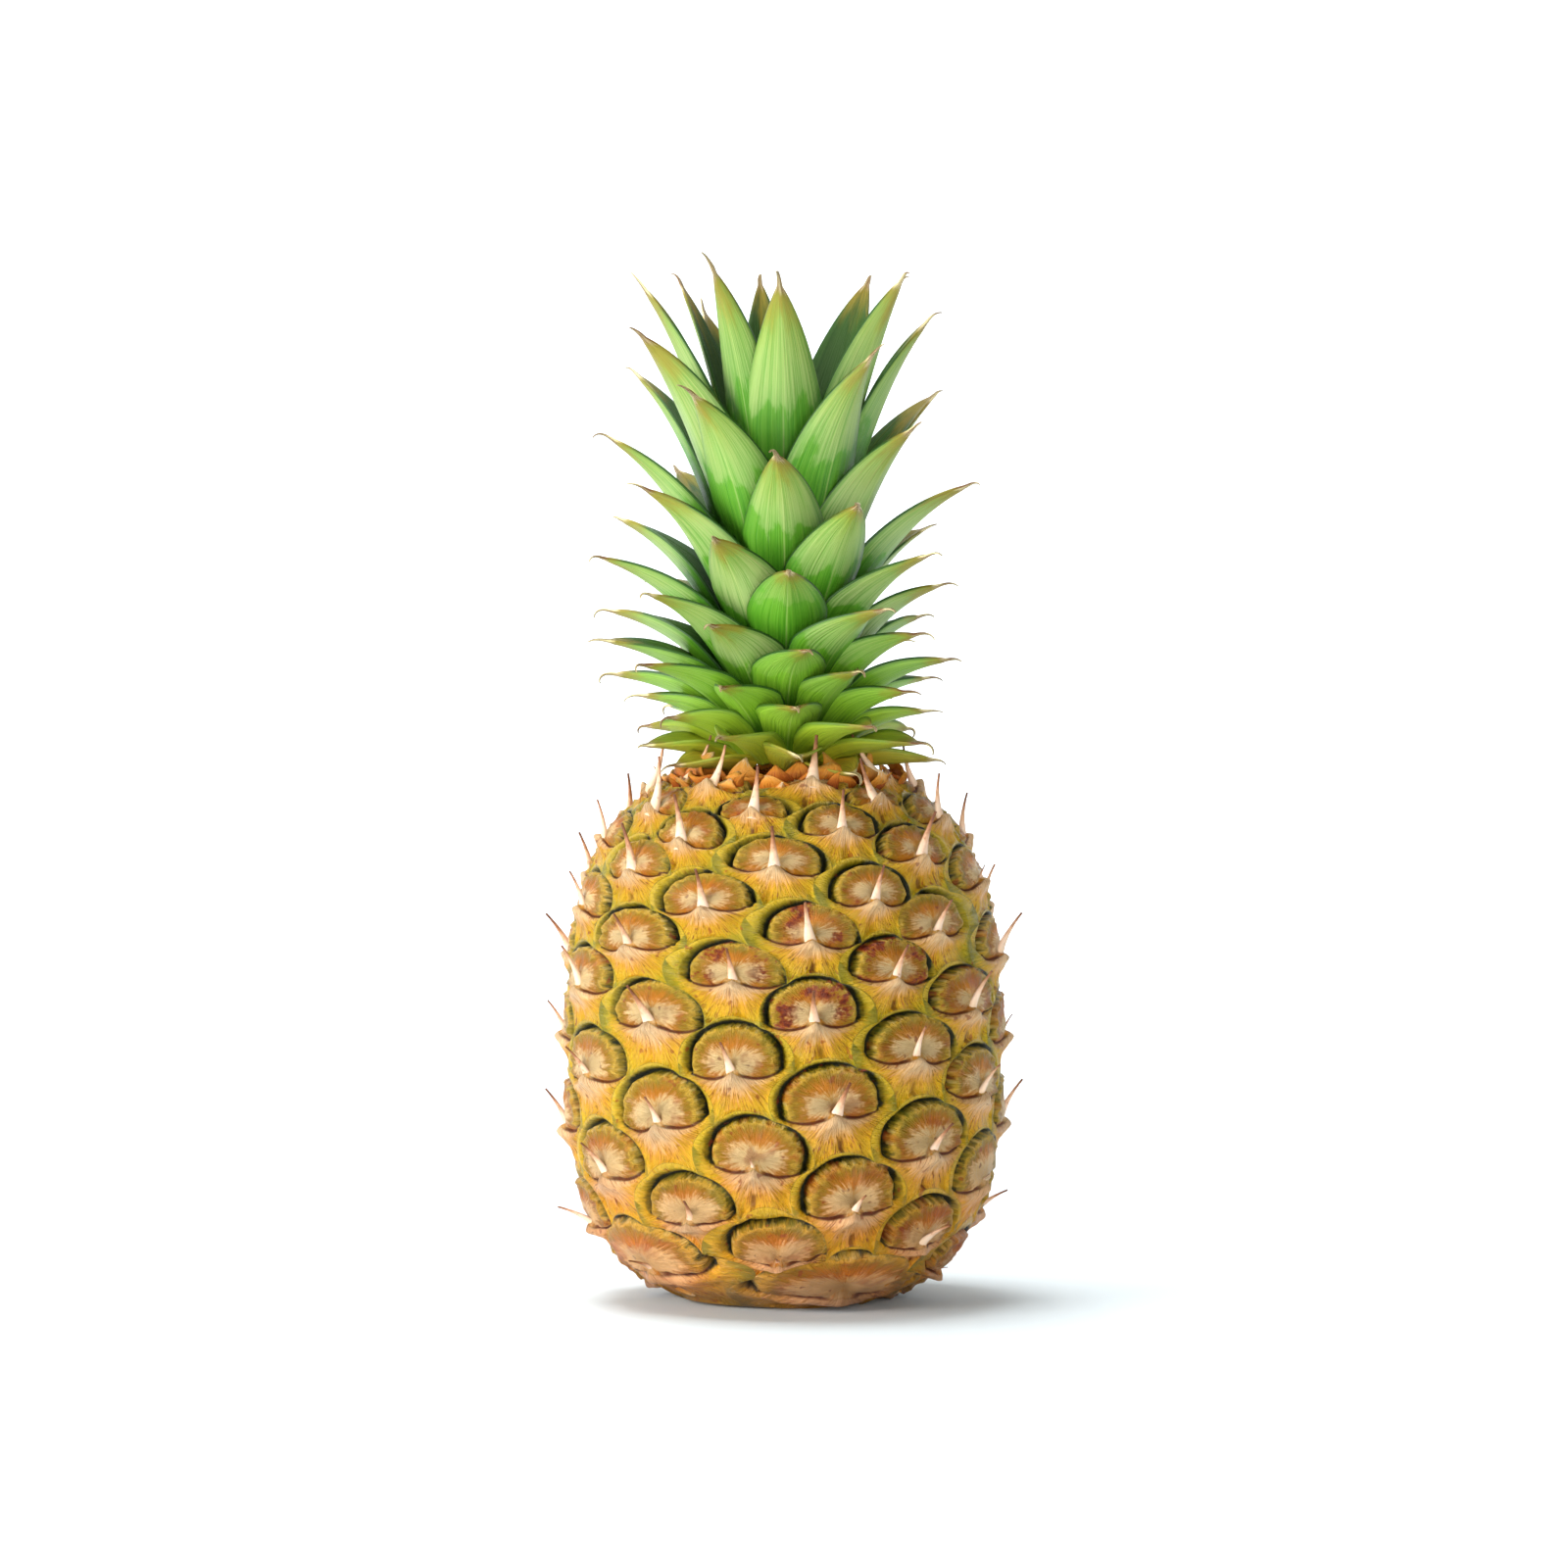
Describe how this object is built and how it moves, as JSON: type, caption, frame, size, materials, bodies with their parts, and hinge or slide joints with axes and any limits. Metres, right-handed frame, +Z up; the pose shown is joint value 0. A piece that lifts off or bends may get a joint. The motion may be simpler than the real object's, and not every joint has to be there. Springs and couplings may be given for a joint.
{
  "type": "pineapple",
  "caption": "Fresh whole pineapple standing upright: eyed, spined barrel-shaped fruit with a tall leafy green crown and a trimmed flat base.",
  "frame": {"origin": "middle of the cut stalk's face, on the surface the fruit stands on", "axes": "+Z up along the fruit's core towards the crown; -Y is the front, +X to its right"},
  "size_m": [0.125, 0.1245, 0.2767],
  "materials": {
    "rind": "waxy",
    "stalk": "cut, fibrous",
    "dry_bract": "dry",
    "leaf": "satin with a pale bloom"
  },
  "bodies": {
    "root": {"fruit": "rind", "cut_stalk": "stalk", "collar": "dry_bract", "crown": "leaf"}
  },
  "joints": []
}
